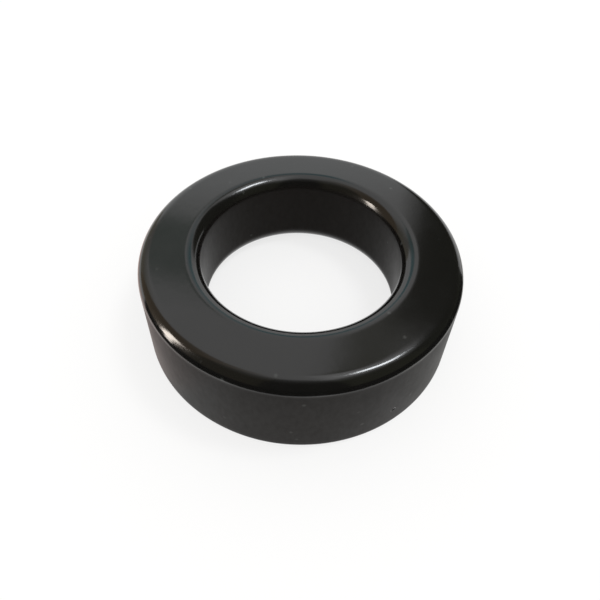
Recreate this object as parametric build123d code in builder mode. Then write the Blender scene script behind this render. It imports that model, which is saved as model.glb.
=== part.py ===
"""Toroidal inductor core: a pressed magnetic ring under a smooth black epoxy coat.

The ring lies flat with its axis on +Z. The origin is the centre of its underside.
The coat covers every face without a seam, so the coated ring is one piece.
All sizes are millimetres over the coat.
"""

import os

from build123d import *

# Driving dimensions: the bore is what the radial width leaves of the outer diameter
OUTER_DIAMETER = 35.9
RADIAL_WIDTH = 6.75
HEIGHT = 10.5

# Rounding of the coated edges: the coat gathers on the bore's edges, so they are the rounder ones,
# and the outer edge of the underside is nearly square, as it left the press
UPPER_OUTER_EDGE_RADIUS = 1.4
LOWER_OUTER_EDGE_RADIUS = 0.4
UPPER_BORE_EDGE_RADIUS = 1.75
LOWER_BORE_EDGE_RADIUS = 2.3

# The ring's section lies between the bore wall and the outer wall
OUTER_RADIUS = OUTER_DIAMETER / 2
BORE_RADIUS = OUTER_RADIUS - RADIAL_WIDTH

# Toroidal core: the rounded section turned once about the axis
with BuildPart() as toroidal_core:
    with BuildSketch(Plane.XZ) as section:
        with BuildLine() as outline:
            FilletPolyline(
                (BORE_RADIUS, 0),
                (OUTER_RADIUS, 0),
                (OUTER_RADIUS, HEIGHT),
                (BORE_RADIUS, HEIGHT),
                radius=[
                    LOWER_BORE_EDGE_RADIUS,
                    LOWER_OUTER_EDGE_RADIUS,
                    UPPER_OUTER_EDGE_RADIUS,
                    UPPER_BORE_EDGE_RADIUS,
                ],
                close=True,
            )
        make_face()
    revolve(axis=Axis.Z)

toroidal_core.part.label = "toroidal_core"

os.makedirs("parts", exist_ok=True)
export_step(toroidal_core.part, "parts/toroidal_core.step")

print("toroidal_core bore diameter", round(2 * BORE_RADIUS, 2), "mm")
print("toroidal_core volume", round(toroidal_core.part.volume, 1), "mm3")
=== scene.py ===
# %% [markdown]
# # A coated toroidal core
# This lesson dresses one small part: the bare ring that a toroidal inductor is wound on.
# The real ring is pressed from magnetic powder and sprayed all over with black epoxy powder.
# The powder melts in an oven and flows into one smooth, glossy skin with rounded edges.
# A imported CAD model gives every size. We load it first, and nothing here changes those sizes.

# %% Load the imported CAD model
import math

import bmesh
import bpy
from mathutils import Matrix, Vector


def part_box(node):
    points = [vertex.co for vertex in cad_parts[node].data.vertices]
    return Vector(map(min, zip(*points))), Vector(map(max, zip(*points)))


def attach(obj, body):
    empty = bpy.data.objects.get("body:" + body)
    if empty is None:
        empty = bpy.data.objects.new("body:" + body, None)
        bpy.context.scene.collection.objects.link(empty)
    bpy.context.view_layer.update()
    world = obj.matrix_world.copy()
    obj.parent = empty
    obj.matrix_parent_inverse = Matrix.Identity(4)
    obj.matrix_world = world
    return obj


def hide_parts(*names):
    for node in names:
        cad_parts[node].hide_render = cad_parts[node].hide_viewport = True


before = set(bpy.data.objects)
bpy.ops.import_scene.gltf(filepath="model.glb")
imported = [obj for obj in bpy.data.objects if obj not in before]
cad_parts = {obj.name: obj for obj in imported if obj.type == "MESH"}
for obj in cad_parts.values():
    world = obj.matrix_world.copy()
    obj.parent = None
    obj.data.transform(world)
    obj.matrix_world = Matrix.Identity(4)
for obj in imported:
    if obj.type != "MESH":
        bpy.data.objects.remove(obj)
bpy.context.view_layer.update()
MM = 0.001
print("CAD nodes:", sorted(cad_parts))

# %% [markdown]
# ## The camera
# The ring was photographed from very near, so its front looks much larger than its back.
# Only a short lens that stands close gives that shape, and zooming in from afar never does.
# The ring also sits low in the frame of such a picture. A small vertical shift gives that
# framing, and the camera needn't tilt for it.

# %% Place the camera
LENS_MM = 30.9
FRAME_SHIFT = -0.155
CAMERA_PLACE_MM = (0.0, -41.30, 50.69)
CAMERA_TURN_DEG = (49.65, -1.51, 1.72)
NEAREST = 1 * MM
FARTHEST = 10.0

bpy.ops.object.select_all(action="DESELECT")
bpy.ops.object.camera_add(
    location=[place * MM for place in CAMERA_PLACE_MM],
    rotation=[math.radians(turn) for turn in CAMERA_TURN_DEG],
)
camera = bpy.context.object
camera.name = "close_camera"
camera.data.lens = LENS_MM
camera.data.shift_y = FRAME_SHIFT
camera.data.clip_start = NEAREST
camera.data.clip_end = FARTHEST
bpy.context.scene.camera = camera
print("camera at", CAMERA_PLACE_MM, "mm with a lens of", LENS_MM, "mm")

# %% [markdown]
# ## The ring's section
# Cut across, the ring is an upright rectangle with four rounded corners. The melted coat draws
# back from the outer edges and gathers in the bore, so the bore's corners are the rounder pair.
# The lower outer edge is nearly square, as it left the press.
# The CAD mesh has the same shape in coarse facets, which a glossy black skin would show.
# So we model a finer ring in its place. A tube with bevelled rims would give one too, but the
# four radii differ, and they are easier to draw on a flat section. We draw that section as
# a plane, stand it up beside the axis, and bevel its corners.

# %% Draw the section as an upright plane
CORE = "toroidal_core"
RADIAL_WIDTH = 6.75 * MM

core_low, core_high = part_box(CORE)
HEIGHT = core_high.z - core_low.z
OUTER_RADIUS = core_high.x
BORE_RADIUS = OUTER_RADIUS - RADIAL_WIDTH
SECTION_CENTRE = (OUTER_RADIUS + BORE_RADIUS) / 2
ORIGIN = (0.0, 0.0, 0.0)

bpy.ops.object.select_all(action="DESELECT")
bpy.ops.mesh.primitive_plane_add(size=1.0)
coated_core = bpy.context.object
coated_core.name = "coated_core"
bpy.ops.object.mode_set(mode="EDIT")
bpy.ops.mesh.select_all(action="SELECT")
bpy.ops.transform.rotate(value=math.pi / 2, orient_axis="X", center_override=ORIGIN)
bpy.ops.transform.resize(value=(RADIAL_WIDTH, 1.0, HEIGHT), center_override=ORIGIN)
bpy.ops.transform.translate(value=(SECTION_CENTRE, 0.0, HEIGHT / 2))
print("section:", round(RADIAL_WIDTH / MM, 2), "by", round(HEIGHT / MM, 2), "mm")

# %% [markdown]
# Bevel rounds whatever is selected, so each corner is picked by its place.
# A vertex bevel with a profile of one half draws a true quarter circle.

# %% Round the section's corners
UPPER_OUTER_EDGE_RADIUS = 1.4 * MM
LOWER_OUTER_EDGE_RADIUS = 0.4 * MM
UPPER_BORE_EDGE_RADIUS = 1.75 * MM
LOWER_BORE_EDGE_RADIUS = 2.3 * MM
ARC_STEPS = 14
SMALLEST = 0.001 * MM


def pick(kind, wanted):
    """Selects the verts, edges or faces of the open mesh for which wanted says yes."""
    open_mesh = bmesh.from_edit_mesh(coated_core.data)
    bpy.ops.mesh.select_all(action="DESELECT")
    found = [element for element in getattr(open_mesh, kind) if wanted(element)]
    for element in found:
        element.select_set(True)
    bmesh.update_edit_mesh(coated_core.data)
    return len(found)


def round_corner(from_axis, height, radius):
    """Bevels the section's corner at that place to that radius."""
    pick("verts", lambda corner: math.hypot(corner.co.x - from_axis, corner.co.z - height) < SMALLEST)
    bpy.ops.mesh.bevel(
        offset_type="OFFSET", offset=radius, segments=ARC_STEPS, profile=0.5, affect="VERTICES"
    )
    print("rounded a corner to", round(radius / MM, 2), "mm")


bpy.context.tool_settings.mesh_select_mode = (True, False, False)
round_corner(OUTER_RADIUS, HEIGHT, UPPER_OUTER_EDGE_RADIUS)
round_corner(OUTER_RADIUS, 0.0, LOWER_OUTER_EDGE_RADIUS)
round_corner(BORE_RADIUS, HEIGHT, UPPER_BORE_EDGE_RADIUS)
round_corner(BORE_RADIUS, 0.0, LOWER_BORE_EDGE_RADIUS)

# %% [markdown]
# ## Spinning the ring
# A spin sweeps the section round the axis and joins the end to the start. A Screw modifier
# would do the same, but the spin leaves a finished mesh at once. The straight sides are divided
# first, so that the faces stay nearly square. The plane's own face goes, because it would be
# left as a wall inside the ring.

# %% Divide the straight sides and spin the section
SIDE_CUTS = 17
RING_STEPS = 384
STRAIGHT = 2 * MM

bpy.context.tool_settings.mesh_select_mode = (False, True, False)
sides = pick("edges", lambda edge: edge.calc_length() > STRAIGHT)
bpy.ops.mesh.subdivide(number_cuts=SIDE_CUTS)
bpy.context.tool_settings.mesh_select_mode = (False, False, True)
bpy.ops.mesh.select_all(action="SELECT")
bpy.ops.mesh.delete(type="ONLY_FACE")
bpy.context.tool_settings.mesh_select_mode = (True, False, False)
bpy.ops.mesh.select_all(action="SELECT")
bpy.ops.mesh.spin(steps=RING_STEPS, angle=2 * math.pi, center=ORIGIN, axis=(0, 0, 1))
bpy.ops.mesh.select_all(action="SELECT")
bpy.ops.mesh.remove_doubles(threshold=SMALLEST)
bpy.ops.mesh.normals_make_consistent(inside=False)
bpy.ops.object.mode_set(mode="OBJECT")
bpy.ops.object.shade_smooth()
print("divided", sides, "sides, and the ring has", len(coated_core.data.polygons), "faces")

# %% [markdown]
# ## The flow of the coat
# Melted powder never sets quite flat: it leaves a slow swell a few millimetres long and one or
# two hundredths of a millimetre deep. A mirror finish shows even that, as a slight waver in each
# highlight. A bump in the material could draw it, but a Displace modifier with a cloud texture
# puts it into the mesh itself. Its middle level is 1, so the skin only sinks and the ring keeps
# its size.

# %% Let the coat swell slightly
SWELL_LENGTH = 5 * MM
SWELL_DEPTH = 0.016 * MM

swell = bpy.data.textures.new("coat_swell", type="CLOUDS")
swell.noise_scale = SWELL_LENGTH
swell.noise_depth = 0
flow = coated_core.modifiers.new("coat_flow", "DISPLACE")
flow.texture = swell
flow.texture_coords = "LOCAL"
flow.strength = SWELL_DEPTH
flow.mid_level = 1.0
bpy.context.view_layer.objects.active = coated_core
bpy.ops.object.modifier_apply(modifier=flow.name)
print("swell of", SWELL_DEPTH / MM, "mm over", SWELL_LENGTH / MM, "mm")

# %% [markdown]
# A bubble that burst in the oven has left one pinhole, low on the outer wall.
# Insetting the wall's faces there and sinking the middle gives a small round-shouldered pit.
# Cutting it with a tiny ball would do too, but that breaks up the neat rows of faces around it.

# %% Sink the pinhole
PIT_TURN = math.radians(33.0)
PIT_HEIGHT = 2.55 * MM
PIT_REACH = 0.34 * MM
PIT_RIM = 0.07 * MM
PIT_DEPTH = 0.2 * MM

pit_place = (OUTER_RADIUS * math.sin(PIT_TURN), -OUTER_RADIUS * math.cos(PIT_TURN), PIT_HEIGHT)
bpy.ops.object.mode_set(mode="EDIT")
bpy.context.tool_settings.mesh_select_mode = (False, False, True)
pit_faces = pick("faces", lambda face: math.dist(face.calc_center_median(), pit_place) < PIT_REACH)
bpy.ops.mesh.inset(thickness=PIT_RIM, depth=0.0)
bpy.ops.mesh.inset(thickness=PIT_RIM, depth=-PIT_DEPTH)
bpy.ops.object.mode_set(mode="OBJECT")
print("pinhole sunk in", pit_faces, "faces")

# %% [markdown]
# ## Colours and nodes
# Colours are written as the hex values that a paint program shows. Shaders want linear light,
# so one function turns the first into the second. A second small function adds a node,
# sets its values and links its inputs.

# %% Helpers for colours and nodes


def linear(hex_colour):
    """The linear RGBA of an sRGB hex colour, by the curve that sRGB is defined with."""
    parts = [int(hex_colour[start : start + 2], 16) / 255 for start in (1, 3, 5)]
    light = [part / 12.92 if part <= 0.04045 else ((part + 0.055) / 1.055) ** 2.4 for part in parts]
    return (*light, 1.0)


def add_node(tree, kind, settings=(), inputs=()):
    """Adds a node. settings are its own properties, and inputs are values or output sockets."""
    node = tree.nodes.new(kind)
    for name, value in dict(settings).items():
        setattr(node, name, value)
    for name, value in dict(inputs).items():
        if isinstance(value, bpy.types.NodeSocket):
            tree.links.new(value, node.inputs[name])
        else:
            node.inputs[name].default_value = value
    return node


print("black of the coat in linear light:", [round(part, 4) for part in linear("#131211")[:3]])

# %% [markdown]
# ## Black epoxy powder coat
# The coat is epoxy resin with carbon black, melted to a skin. It has almost no colour of its own.
# What the eye gets is the mirror on top of it, which is clear on the flat faces and the edges.
# The upright walls flow less in the oven, so they stay softer and duller. Dust that fell on
# before the skin set leaves pale specks, and fingers leave faint smears that only dull the gloss.

# %% Start the coat's material with its place on the ring
coat = bpy.data.materials.new("black_epoxy_powder_coat")
coat.use_nodes = True
tree = coat.node_tree
tree.nodes.clear()
place = add_node(tree, "ShaderNodeTexCoord").outputs["Object"]
print("material", coat.name)

# %% [markdown]
# The lumps of a noise pattern are about 1/scale metres long, so its scale comes from a size in
# millimetres.
# The carbon black is not mixed quite evenly, which a noise shows as a faint mottle.
# A Mix node has sockets of the same name for numbers and for colours, so they are given by their
# place in the node: 2 and 3 are its two numbers, 6 and 7 its two colours.

# %% Mottle of the black
MOTTLE_MM = 6.0

mottle = add_node(
    tree,
    "ShaderNodeTexNoise",
    inputs={"Vector": place, "Scale": 1 / (MOTTLE_MM * MM), "Detail": 3.0},
)
black = add_node(
    tree,
    "ShaderNodeMix",
    {"data_type": "RGBA"},
    {"Factor": mottle.outputs["Fac"], 6: linear("#0b0b0a"), 7: linear("#131211")},
)
print("mottle every", MOTTLE_MM, "mm")

# %% [markdown]
# Dust comes from a Voronoi pattern, which strews one point into each of its cells. Each cell also
# has a random value, and only the cells with a high one keep their speck. A speck is palest in
# its middle.

# %% Dust specks
SPECK_CELL_MM = 1.5
SPECK_MM = 0.26
SPECK_ABOVE = 0.72

dust = add_node(
    tree,
    "ShaderNodeTexVoronoi",
    inputs={"Vector": place, "Scale": 1 / (SPECK_CELL_MM * MM)},
)
speck = add_node(
    tree,
    "ShaderNodeMapRange",
    inputs={
        "Value": dust.outputs["Distance"],
        "From Min": SPECK_MM / SPECK_CELL_MM,
        "From Max": 0.0,
    },
)
rare = add_node(
    tree,
    "ShaderNodeMath",
    {"operation": "GREATER_THAN"},
    {0: dust.outputs["Color"], 1: SPECK_ABOVE},
)
dusty = add_node(
    tree,
    "ShaderNodeMath",
    {"operation": "MULTIPLY"},
    {0: speck.outputs["Result"], 1: rare.outputs["Value"]},
)
colour = add_node(
    tree,
    "ShaderNodeMix",
    {"data_type": "RGBA"},
    {"Factor": dusty.outputs["Value"], 6: black.outputs[2], 7: linear("#3a3b39")},
)
print("dust specks of", SPECK_MM, "mm")

# %% [markdown]
# The walls are told from the faces by their normals: a normal lies flat on a wall, and points up
# or down on a face. A mask made from that is 1 on the walls and 0 on the faces. Two materials
# on two sets of faces would do as well, but they would meet in a hard line.
# The spray reaches the bore less well, so there the dull finish starts higher up on the edge.
# The distance from the axis tells the bore's edge from the outer one.

# %% Tell the walls from the faces
OUTER_START = 0.16
BORE_START = 0.75

upright = add_node(
    tree,
    "ShaderNodeSeparateXYZ",
    inputs={"Vector": add_node(tree, "ShaderNodeNewGeometry").outputs["Normal"]},
)
tilt = add_node(tree, "ShaderNodeMath", {"operation": "ABSOLUTE"}, {0: upright.outputs["Z"]})
flat_place = add_node(
    tree, "ShaderNodeVectorMath", {"operation": "MULTIPLY"}, {0: place, 1: (1.0, 1.0, 0.0)}
)
from_axis = add_node(
    tree, "ShaderNodeVectorMath", {"operation": "LENGTH"}, {0: flat_place.outputs["Vector"]}
)
wall_start = add_node(
    tree,
    "ShaderNodeMapRange",
    inputs={
        "Value": from_axis.outputs["Value"],
        "From Min": BORE_RADIUS,
        "From Max": OUTER_RADIUS,
        "To Min": BORE_START,
        "To Max": OUTER_START,
    },
)
wall = add_node(
    tree,
    "ShaderNodeMapRange",
    {"interpolation_type": "SMOOTHSTEP"},
    {
        "Value": tilt.outputs["Value"],
        "From Min": wall_start.outputs["Result"],
        "From Max": 0.0,
    },
)
print("walls found by their normals")

# %% [markdown]
# On the walls a faint warm tone is painted into the black, where the mask is 1. It is painted
# reflection:
# it stands in for the warm light that the walls mirror from the table.

# %% Paint the walls' warm reflected tone
# painted reflection: a warm tone on the walls that stands in for the warm light they mirror
painted_warm_walls = add_node(
    tree,
    "ShaderNodeMix",
    {"data_type": "RGBA", "blend_type": "ADD"},
    {"Factor": wall.outputs["Result"], 6: colour.outputs[2], 7: linear("#0d0906")},
)
print("walls tinted")

# %% [markdown]
# The roughness follows that mask. Smears add a little to it in patches, and nothing elsewhere.

# %% Roughness of the faces and of the walls
FACE_ROUGHNESS = 0.13
WALL_ROUGHNESS = 0.34
SMEAR_MM = 9.0
SMEAR_START = 0.45
SMEAR_FULL = 0.75
SMEAR_ROUGHNESS = 0.06

gloss = add_node(
    tree,
    "ShaderNodeMapRange",
    inputs={
        "Value": wall.outputs["Result"],
        "To Min": FACE_ROUGHNESS,
        "To Max": WALL_ROUGHNESS,
    },
)
smear = add_node(
    tree,
    "ShaderNodeTexNoise",
    inputs={"Vector": place, "Scale": 1 / (SMEAR_MM * MM), "Detail": 4.0, "Roughness": 0.6},
)
smeared = add_node(
    tree,
    "ShaderNodeMapRange",
    inputs={
        "Value": smear.outputs["Fac"],
        "From Min": SMEAR_START,
        "From Max": SMEAR_FULL,
        "To Max": SMEAR_ROUGHNESS,
    },
)
roughness = add_node(
    tree,
    "ShaderNodeMath",
    {"operation": "ADD"},
    {0: gloss.outputs["Result"], 1: smeared.outputs["Result"]},
)
print("roughness", FACE_ROUGHNESS, "on faces and", WALL_ROUGHNESS, "on walls")

# %% [markdown]
# The walls also mirror far less than the faces do. There the strength of the mirror follows
# a faint upright grain from the press, drawn by a noise that is stretched along the height.
# The real grain is too fine to show, so it is drawn about twice as coarse. An exported model
# doesn't keep this step, because the export leaves out a mirror strength that changes from place
# to place. There the walls are told from the faces by their roughness alone.

# %% Strength of the mirror
FACE_MIRROR = 0.5
OUTER_MIRROR = 0.048
BORE_MIRROR = 0.054
GRAIN_MM = 0.5
GRAIN_STRETCH = 2.0
GRAIN_LOW = 0.3
GRAIN_HIGH = 0.7
GRAIN_SWING = 0.15

along_height = add_node(
    tree,
    "ShaderNodeMapping",
    inputs={"Vector": place, "Scale": (1.0, 1.0, 1 / GRAIN_STRETCH)},
)
grain = add_node(
    tree,
    "ShaderNodeTexNoise",
    inputs={"Vector": along_height.outputs["Vector"], "Scale": 1 / (GRAIN_MM * MM), "Detail": 3.0},
)
grained = add_node(
    tree,
    "ShaderNodeMapRange",
    inputs={
        "Value": grain.outputs["Fac"],
        "From Min": GRAIN_LOW,
        "From Max": GRAIN_HIGH,
        "To Min": 1 - GRAIN_SWING,
        "To Max": 1 + GRAIN_SWING,
    },
)
wall_shine = add_node(
    tree,
    "ShaderNodeMapRange",
    inputs={
        "Value": from_axis.outputs["Value"],
        "From Min": BORE_RADIUS,
        "From Max": OUTER_RADIUS,
        "To Min": BORE_MIRROR,
        "To Max": OUTER_MIRROR,
    },
)
wall_mirror = add_node(
    tree,
    "ShaderNodeMath",
    {"operation": "MULTIPLY"},
    {0: wall_shine.outputs["Result"], 1: grained.outputs["Result"]},
)
mirror = add_node(
    tree,
    "ShaderNodeMix",
    inputs={"Factor": wall.outputs["Result"], 2: FACE_MIRROR, 3: wall_mirror.outputs["Value"]},
)
print("mirror", FACE_MIRROR, "on faces,", OUTER_MIRROR, "outside and", BORE_MIRROR, "in the bore")

# %% [markdown]
# Orange peel is the fine dimpling of every powder coat. It is too shallow to model, so a bump
# draws it. The shader then takes colour, roughness, mirror and bump, with the IOR of epoxy.

# %% Orange peel and the finished shader
PEEL_MM = 0.9
PEEL_HEIGHT_MM = 0.004
EPOXY_IOR = 1.58

peel = add_node(
    tree,
    "ShaderNodeTexNoise",
    inputs={"Vector": place, "Scale": 1 / (PEEL_MM * MM), "Detail": 2.0},
)
bump = add_node(
    tree,
    "ShaderNodeBump",
    inputs={"Height": peel.outputs["Fac"], "Distance": PEEL_HEIGHT_MM * MM, "Strength": 1.0},
)
skin = add_node(
    tree,
    "ShaderNodeBsdfPrincipled",
    inputs={
        "Base Color": painted_warm_walls.outputs[2],
        "Roughness": roughness.outputs["Value"],
        "IOR": EPOXY_IOR,
        "Specular IOR Level": mirror.outputs[0],
        "Normal": bump.outputs["Normal"],
    },
)
add_node(tree, "ShaderNodeOutputMaterial", inputs={"Surface": skin.outputs["BSDF"]})
coated_core.data.materials.append(coat)
print("orange peel of", PEEL_HEIGHT_MM, "mm every", PEEL_MM, "mm")

# %% [markdown]
# ## The finished ring rides on the frame
# The ring stands in for the CAD node, which stays in the physics model.

# %% Tie the ring to the frame
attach(coated_core, "root")
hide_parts(CORE)
print("coated_core stands in for", CORE)

# %% [markdown]
# ## The table
# A plain white table carries the ring and takes its soft shadow. To the eye, and in the ring's
# mirror, its paint is lifted part of the way to pure white, so the shadow stays a pale one.
# A Light Path node tells the rays that look at the table from those that only carry its light.
# More light would whiten the table too, but it would also wash out the black.

# %% Mix the table's paint
TABLE_LIFT = 0.75

paint = bpy.data.materials.new("matt_white_paint")
paint.use_nodes = True
pot = paint.node_tree
pot.nodes.clear()
matt = add_node(pot, "ShaderNodeBsdfDiffuse", inputs={"Color": linear("#f3f1ee")})
white = add_node(pot, "ShaderNodeEmission", inputs={"Color": linear("#ffffff")})
ray = add_node(pot, "ShaderNodeLightPath")
looked_at = ray.outputs["Is Camera Ray"]
for kind in ("Is Glossy Ray", "Is Transmission Ray"):
    looked_at = add_node(
        pot, "ShaderNodeMath", {"operation": "MAXIMUM"}, {0: looked_at, 1: ray.outputs[kind]}
    ).outputs["Value"]
lift = add_node(pot, "ShaderNodeMath", {"operation": "MULTIPLY"}, {0: looked_at, 1: TABLE_LIFT})
lifted = add_node(
    pot,
    "ShaderNodeMixShader",
    inputs={0: lift.outputs["Value"], 1: matt.outputs["BSDF"], 2: white.outputs["Emission"]},
)
add_node(pot, "ShaderNodeOutputMaterial", inputs={"Surface": lifted.outputs["Shader"]})
print("paint lifted to white by", TABLE_LIFT)

# %% [markdown]
# The table itself is one plane, so large that its edge lies far off.

# %% Lay the table
TABLE_SIZE = 6.0

bpy.ops.object.select_all(action="DESELECT")
bpy.ops.mesh.primitive_plane_add(size=TABLE_SIZE)
table = bpy.context.object
table.name = "white_table"
table.data.materials.append(paint)
print("table of", TABLE_SIZE, "m laid under the ring")

# %% [markdown]
# ## Light for a black mirror
# A glossy black thing shows its surroundings more than itself, so we light the surroundings.
# The world is plain white, and it lights the table too.

# %% White world
WORLD_LIGHT = 1.0

world = bpy.data.worlds.new("white_studio")
bpy.context.scene.world = world
world.use_nodes = True
world.node_tree.nodes.clear()
sky = add_node(
    world.node_tree,
    "ShaderNodeBackground",
    inputs={"Color": linear("#ffffff"), "Strength": WORLD_LIGHT},
)
add_node(world.node_tree, "ShaderNodeOutputWorld", inputs={"Surface": sky.outputs["Background"]})
print("white world of strength", WORLD_LIGHT)

# %% [markdown]
# Lamps are placed by the way from the ring to them, in degrees and metres, and their brightness
# is that of their face, where 1 is white. A ceiling lamp on the right and a tall window on the
# left draw the bright streaks on the rounded edges. Two large faint lamps add a glow, one round
# the ceiling lamp and one beyond the ring. The window is for the mirror only, because from so
# near it would light the table unevenly.

# %% Lamps


def stand(azimuth, elevation, distance):
    """Place and turn of a thing that faces the ring. Azimuth 0 is beyond it, 90 is to its right."""
    around, up = math.radians(azimuth), math.radians(elevation)
    spot = (
        distance * math.sin(around) * math.cos(up),
        distance * math.cos(around) * math.cos(up),
        distance * math.sin(up),
    )
    return {"location": spot, "rotation": (math.pi / 2 - up, 0.0, math.pi - around)}


def softbox(name, azimuth, elevation, distance, width, height, brightness, tint):
    """A flat lamp whose face is that bright."""
    bpy.ops.object.light_add(type="AREA", **stand(azimuth, elevation, distance))
    lamp = bpy.context.object
    lamp.name = name
    lamp.data.shape = "RECTANGLE"
    lamp.data.size, lamp.data.size_y = width, height
    lamp.data.energy = brightness * math.pi * width * height
    lamp.data.color = linear(tint)[:3]
    lamp.visible_camera = False
    print(name, "at", azimuth, "degrees round and", elevation, "up")
    return lamp


softbox(
    "ceiling_lamp", azimuth=79, elevation=68, distance=0.8,
    width=0.125, height=0.185, brightness=19.2, tint="#f6fbff",
)
softbox(
    "ceiling_glow", azimuth=75, elevation=73, distance=0.8,
    width=0.50, height=0.30, brightness=0.48, tint="#ffffff",
)
softbox(
    "back_glow", azimuth=-8, elevation=29, distance=0.8,
    width=0.80, height=0.28, brightness=0.2, tint="#e8fbff",
)
side_window = softbox(
    "side_window", azimuth=-103, elevation=15, distance=0.45,
    width=0.072, height=0.25, brightness=16.8, tint="#fff4e9",
)
side_window.visible_diffuse = False

# %% [markdown]
# ## Cards for the dim parts
# A mirror with nothing but white round it looks grey all over. So cards stand where the skin
# should show something dimmer, as photographers set up grey and black boards. Lamps can't do
# that, because they only ever add light. A card glows by itself in its own shade, and so it
# stays the same wherever it stands. Its cloth can thin out towards the top or towards one side,
# and the skin then shades off softly.

# %% Cloth for the cards


def card_cloth(name, shade, solid_top, solid_side, strength):
    """A cloth of that shade. It is solid up to those shares of the card and fades out beyond."""
    cloth = bpy.data.materials.new(name)
    cloth.use_nodes = True
    weave = cloth.node_tree
    weave.nodes.clear()
    spot = add_node(weave, "ShaderNodeTexCoord").outputs["Object"]
    along = add_node(weave, "ShaderNodeSeparateXYZ", inputs={"Vector": spot})
    fades = [
        add_node(
            weave,
            "ShaderNodeMapRange",
            inputs={"Value": along.outputs[axis], "From Min": share - 0.5, "From Max": 0.5},
        ).outputs["Result"]
        for axis, share in (("Y", solid_top), ("X", solid_side))
    ]
    thin = add_node(weave, "ShaderNodeMath", {"operation": "MAXIMUM"}, {0: fades[0], 1: fades[1]})
    solid = add_node(
        weave, "ShaderNodeEmission", inputs={"Color": linear(shade), "Strength": strength}
    )
    clear = add_node(weave, "ShaderNodeBsdfTransparent")
    blend = add_node(
        weave,
        "ShaderNodeMixShader",
        inputs={0: thin.outputs["Value"], 1: solid.outputs[0], 2: clear.outputs[0]},
    )
    add_node(weave, "ShaderNodeOutputMaterial", inputs={"Surface": blend.outputs[0]})
    return cloth


print("cloth for the cards is ready")

# %% [markdown]
# The camera and the table don't see the cards, and the cards throw no shadow: they are there
# only for the skin's mirror. Four of them stand beyond the ring, and the back of the top face
# mirrors them. The teal one stands close, so that from the camera's side just the bore's edge
# shows it, as a thin blue line.

# %% Cards beyond the ring
CARD_LIGHT = 0.8
TEAL_CARD_UP = 39 * MM


def card(
    name,
    azimuth,
    elevation,
    distance,
    width,
    height,
    shade,
    solid_top=1.0,
    solid_side=1.0,
    strength=CARD_LIGHT,
    drop=0.0,
):
    """A card that faces the ring, in the shade that the skin is to mirror. Its left end may drop."""
    bpy.ops.object.select_all(action="DESELECT")
    bpy.ops.mesh.primitive_plane_add(size=1.0, **stand(azimuth, elevation, distance))
    sheet = bpy.context.object
    sheet.name = name
    sheet.scale = (width, height, 1.0)
    sheet.rotation_euler.rotate_axis("Z", math.radians(-drop))
    sheet.visible_camera = False
    sheet.visible_diffuse = False
    sheet.visible_shadow = False
    cloth = card_cloth(name + "_cloth", shade, solid_top, solid_side, strength)
    sheet.data.materials.append(cloth)
    print(name, "at", azimuth, "degrees round")
    return sheet


card(
    "green_card", azimuth=-21, elevation=44.5, distance=0.45,
    width=0.120, height=0.065, shade="#b0beb6", drop=25,
)
card(
    "slant_card", azimuth=-40, elevation=30, distance=0.45,
    width=0.25, height=0.065, shade="#cbc6bf", drop=49,
)
card(
    "upper_card", azimuth=16, elevation=59, distance=0.5,
    width=0.06, height=0.14, shade="#a8a89c",
)
teal_card = card(
    "teal_card", azimuth=-7, elevation=0, distance=33.2 * MM,
    width=20 * MM, height=18 * MM, shade="#a2dbe4", solid_top=0.4, solid_side=0.35,
)
teal_card.location.z = TEAL_CARD_UP

# %% [markdown]
# Photographers call a board that keeps light away a flag. Ours stand on the table, on the right,
# on the left and behind the camera. Each is given by what the ring sees of it, as angles: half of
# its width, the height up to which it is solid, and the height at which it is clear. The first
# is close and hovers, so that it darkens only the right half of the top face.

# %% Flags round the ring
FLAG_DISTANCE = 0.5
NEAR_FLAG_RISE = 20 * MM


def flag(
    name, azimuth, half_angle, solid_to, clear_at, shade, distance=FLAG_DISTANCE, solid_side=1.0
):
    """A card on edge on the table, given by the angles at which the ring sees it."""
    width = 2 * distance * math.tan(math.radians(half_angle))
    height = distance * math.tan(math.radians(clear_at))
    solid_top = math.tan(math.radians(solid_to)) / math.tan(math.radians(clear_at))
    sheet = card(name, azimuth, 0, distance, width, height, shade, solid_top, solid_side)
    sheet.location.z = height / 2
    return sheet


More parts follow.
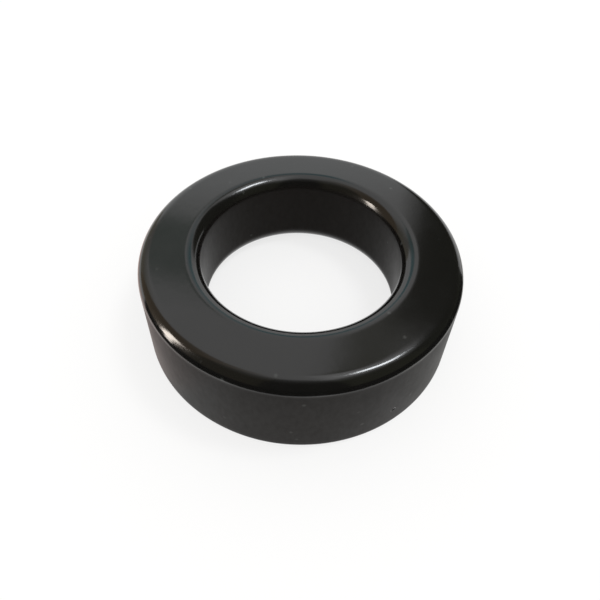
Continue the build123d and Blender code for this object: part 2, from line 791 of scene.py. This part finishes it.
near_flag = flag(
    "right_near_flag", azimuth=55, half_angle=34, solid_to=51.5, clear_at=57,
    shade="#4a4a3e", distance=61.8 * MM, solid_side=0.88,
)
near_flag.location.z += NEAR_FLAG_RISE
flag("right_flag", azimuth=80, half_angle=24, solid_to=44, clear_at=60, shade="#545749")
flag("right_front_flag", azimuth=127, half_angle=24, solid_to=50, clear_at=74, shade="#70725e")
flag("camera_flag", azimuth=176, half_angle=26, solid_to=52, clear_at=84, shade="#31312c")
flag("left_front_flag", azimuth=-136, half_angle=26, solid_to=50, clear_at=82, shade="#706a58")
flag("left_flag", azimuth=-88, half_angle=24, solid_to=48, clear_at=83, shade="#bba68a")
flag("left_back_flag", azimuth=-50, half_angle=14, solid_to=22, clear_at=50, shade="#c8c2b0")

# %% [markdown]
# Low dark cards stand close round the ring's front. The lower half of its rounded edge mirrors
# them, as a black band under the bright rim. They also hide the foot of the window there, so
# a small bright card in front of them carries the window's streak on downwards.

# %% Low cards and the window's foot
LOW_CARD_TURNS = (110, 150, -170, -130)
LOW_CARD_UP = 5.2 * MM
WINDOW_FOOT_UP = 9 * MM
WINDOW_FOOT_LIGHT = 9.6

for azimuth in LOW_CARD_TURNS:
    low_card = card(
        "low_card", azimuth=azimuth, elevation=0, distance=26.5 * MM,
        width=31 * MM, height=9.5 * MM, shade="#222220",
    )
    low_card.location.z = LOW_CARD_UP
window_foot = card(
    "window_foot", azimuth=-126, elevation=0, distance=25.3 * MM,
    width=2 * MM, height=2.2 * MM, shade="#fff4e9", strength=WINDOW_FOOT_LIGHT,
)
window_foot.location.z = WINDOW_FOOT_UP

# %% [markdown]
# The walls look down at the table. A warm mat on the left and a grey one on the right lie there
# for them, and give each side of the outer wall its tone. Each is turned so that it fades out
# towards the front and towards the ring.

# %% Mats beside the ring
MAT_WIDTH = 34 * MM
MAT_LENGTH = 44 * MM
MAT_ACROSS = 29 * MM
MAT_ALONG = -2 * MM
MAT_UP = 0.1 * MM
WARM_MAT_LIGHT = 1.04

for name, side, turn, shade, strength in (
    ("left_mat", -1, (math.pi, 0.0, 0.0), "#ffe6de", WARM_MAT_LIGHT),
    ("right_mat", 1, (0.0, 0.0, math.pi), "#d4d3ce", CARD_LIGHT),
):
    mat = card(
        name, azimuth=0, elevation=0, distance=0.0, width=MAT_WIDTH, height=MAT_LENGTH,
        shade=shade, solid_top=0.3, solid_side=0.8, strength=strength,
    )
    mat.location = (side * MAT_ACROSS, MAT_ALONG, MAT_UP)
    mat.rotation_euler = turn

# %% [markdown]
# ## Colours as they are
# The Standard view shows colours as they were written.

# %% Set the view
bpy.context.scene.view_settings.view_transform = "Standard"
